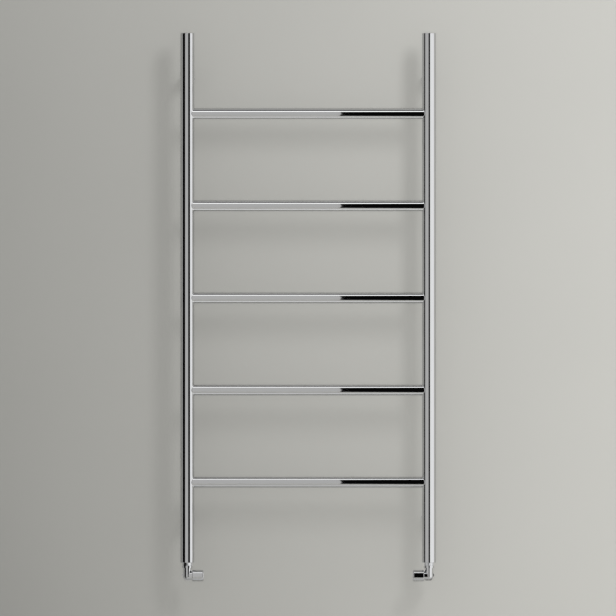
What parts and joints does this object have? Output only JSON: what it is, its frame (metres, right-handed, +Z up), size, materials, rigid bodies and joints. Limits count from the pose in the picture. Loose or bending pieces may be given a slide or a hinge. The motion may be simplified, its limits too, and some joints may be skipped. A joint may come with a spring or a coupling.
{
  "type": "towel warmer rack",
  "caption": "Wall-hung ladder towel warmer of round chromed tube, heated by water, with corner valves under its posts, a rear air vent and adjustable wall brackets.",
  "frame": {"origin": "in the wall plane, at the centre of the four wall screw holes, level with the middle of the posts", "axes": "+X to the right as seen from the front, +Y into the wall, +Z up along the posts"},
  "size_m": [0.58, 0.091, 1.243],
  "materials": {
    "chrome_tube": "mirror-polished chrome plate on steel tube",
    "chrome_fitting": "mirror-polished chrome plate on turned brass",
    "bare_brass": "turned brass",
    "soft_copper": "soft drawn copper",
    "plated_steel": "zinc-plated steel",
    "seal_rubber": "matt black rubber",
    "black_plastic": "fine-grained black moulding"
  },
  "bodies": {
    "rack": {"bracket_bosses": "chrome_tube", "bracket_grubs": "plated_steel", "flow_bonnet": "bare_brass", "flow_bonnet_gasket": "seal_rubber", "flow_pipe_nut": "chrome_fitting", "flow_pipe_olive": "soft_copper", "flow_snap_ring": "plated_steel", "flow_tail": "chrome_fitting", "flow_tail_seal": "seal_rubber", "flow_union_nut": "chrome_fitting", "flow_valve_body": "chrome_fitting", "left_foot_bush": "chrome_tube", "left_post": "chrome_tube", "left_top_cap": "chrome_tube", "lower_left_arm": "chrome_fitting", "lower_left_socket": "chrome_fitting", "lower_right_arm": "chrome_fitting", "lower_right_socket": "chrome_fitting", "rail_1": "chrome_tube", "rail_2": "chrome_tube", "rail_3": "chrome_tube", "rail_4": "chrome_tube", "rail_5": "chrome_tube", "return_bonnet": "bare_brass", "return_bonnet_gasket": "seal_rubber", "return_pipe_nut": "chrome_fitting", "return_pipe_olive": "soft_copper", "return_snap_ring": "plated_steel", "return_tail": "chrome_fitting", "return_tail_seal": "seal_rubber", "return_union_nut": "chrome_fitting", "return_valve_body": "chrome_fitting", "right_foot_bush": "chrome_tube", "right_post": "chrome_tube", "right_top_cap": "chrome_tube", "upper_left_arm": "chrome_fitting", "upper_left_socket": "chrome_fitting", "upper_right_arm": "chrome_fitting", "upper_right_socket": "chrome_fitting", "vent_bush": "chrome_tube", "vent_plug": "chrome_fitting", "vent_seal": "seal_rubber"},
    "flow_wheel": {"flow_handwheel": "chrome_fitting", "flow_handwheel_hub": "black_plastic", "flow_handwheel_screw": "plated_steel", "flow_spindle": "bare_brass", "flow_spindle_seal": "seal_rubber", "flow_spindle_clip": "plated_steel"},
    "flow_stopper": {"flow_plug": "bare_brass", "flow_plug_washer": "seal_rubber"},
    "return_cap": {"return_shield_cap": "chrome_fitting", "return_shield_grip": "black_plastic"},
    "return_key": {"return_spindle": "bare_brass", "return_spindle_seal": "seal_rubber", "return_spindle_clip": "plated_steel"},
    "return_stopper": {"return_plug": "bare_brass", "return_plug_washer": "seal_rubber"},
    "bleeder": {"bleed_screw": "bare_brass"}
  },
  "joints": [
    {"name": "flow_wheel_turn", "type": "hinge", "parent": "rack", "child": "flow_wheel", "pos_m": [-0.274, -0.075, -0.63001], "axis": [1, 0, 0], "range_deg": [0, 720]},
    {"name": "flow_stopper_lift", "type": "slide", "parent": "rack", "child": "flow_stopper", "axis": [1, 0, 0], "range_m": [0, 0.003]},
    {"name": "return_cap_pull", "type": "slide", "parent": "rack", "child": "return_cap", "axis": [-1, 0, 0], "range_m": [0, 0.04]},
    {"name": "return_key_turn", "type": "hinge", "parent": "rack", "child": "return_key", "pos_m": [0.274, -0.075, -0.63001], "axis": [-1, 0, 0], "range_deg": [0, 720]},
    {"name": "return_stopper_lift", "type": "slide", "parent": "rack", "child": "return_stopper", "axis": [-1, 0, 0], "range_m": [0, 0.003]},
    {"name": "bleed_screw_turn", "type": "hinge", "parent": "rack", "child": "bleeder", "pos_m": [0.274, -0.075, 0.555], "axis": [0, 1, 0], "range_deg": [0, 360]}
  ],
  "couplings": [
    {"joint": "flow_stopper_lift", "follows": "flow_wheel_turn", "m_per_rad": 0.00023873},
    {"joint": "return_stopper_lift", "follows": "return_key_turn", "m_per_rad": 0.00023873}
  ]
}
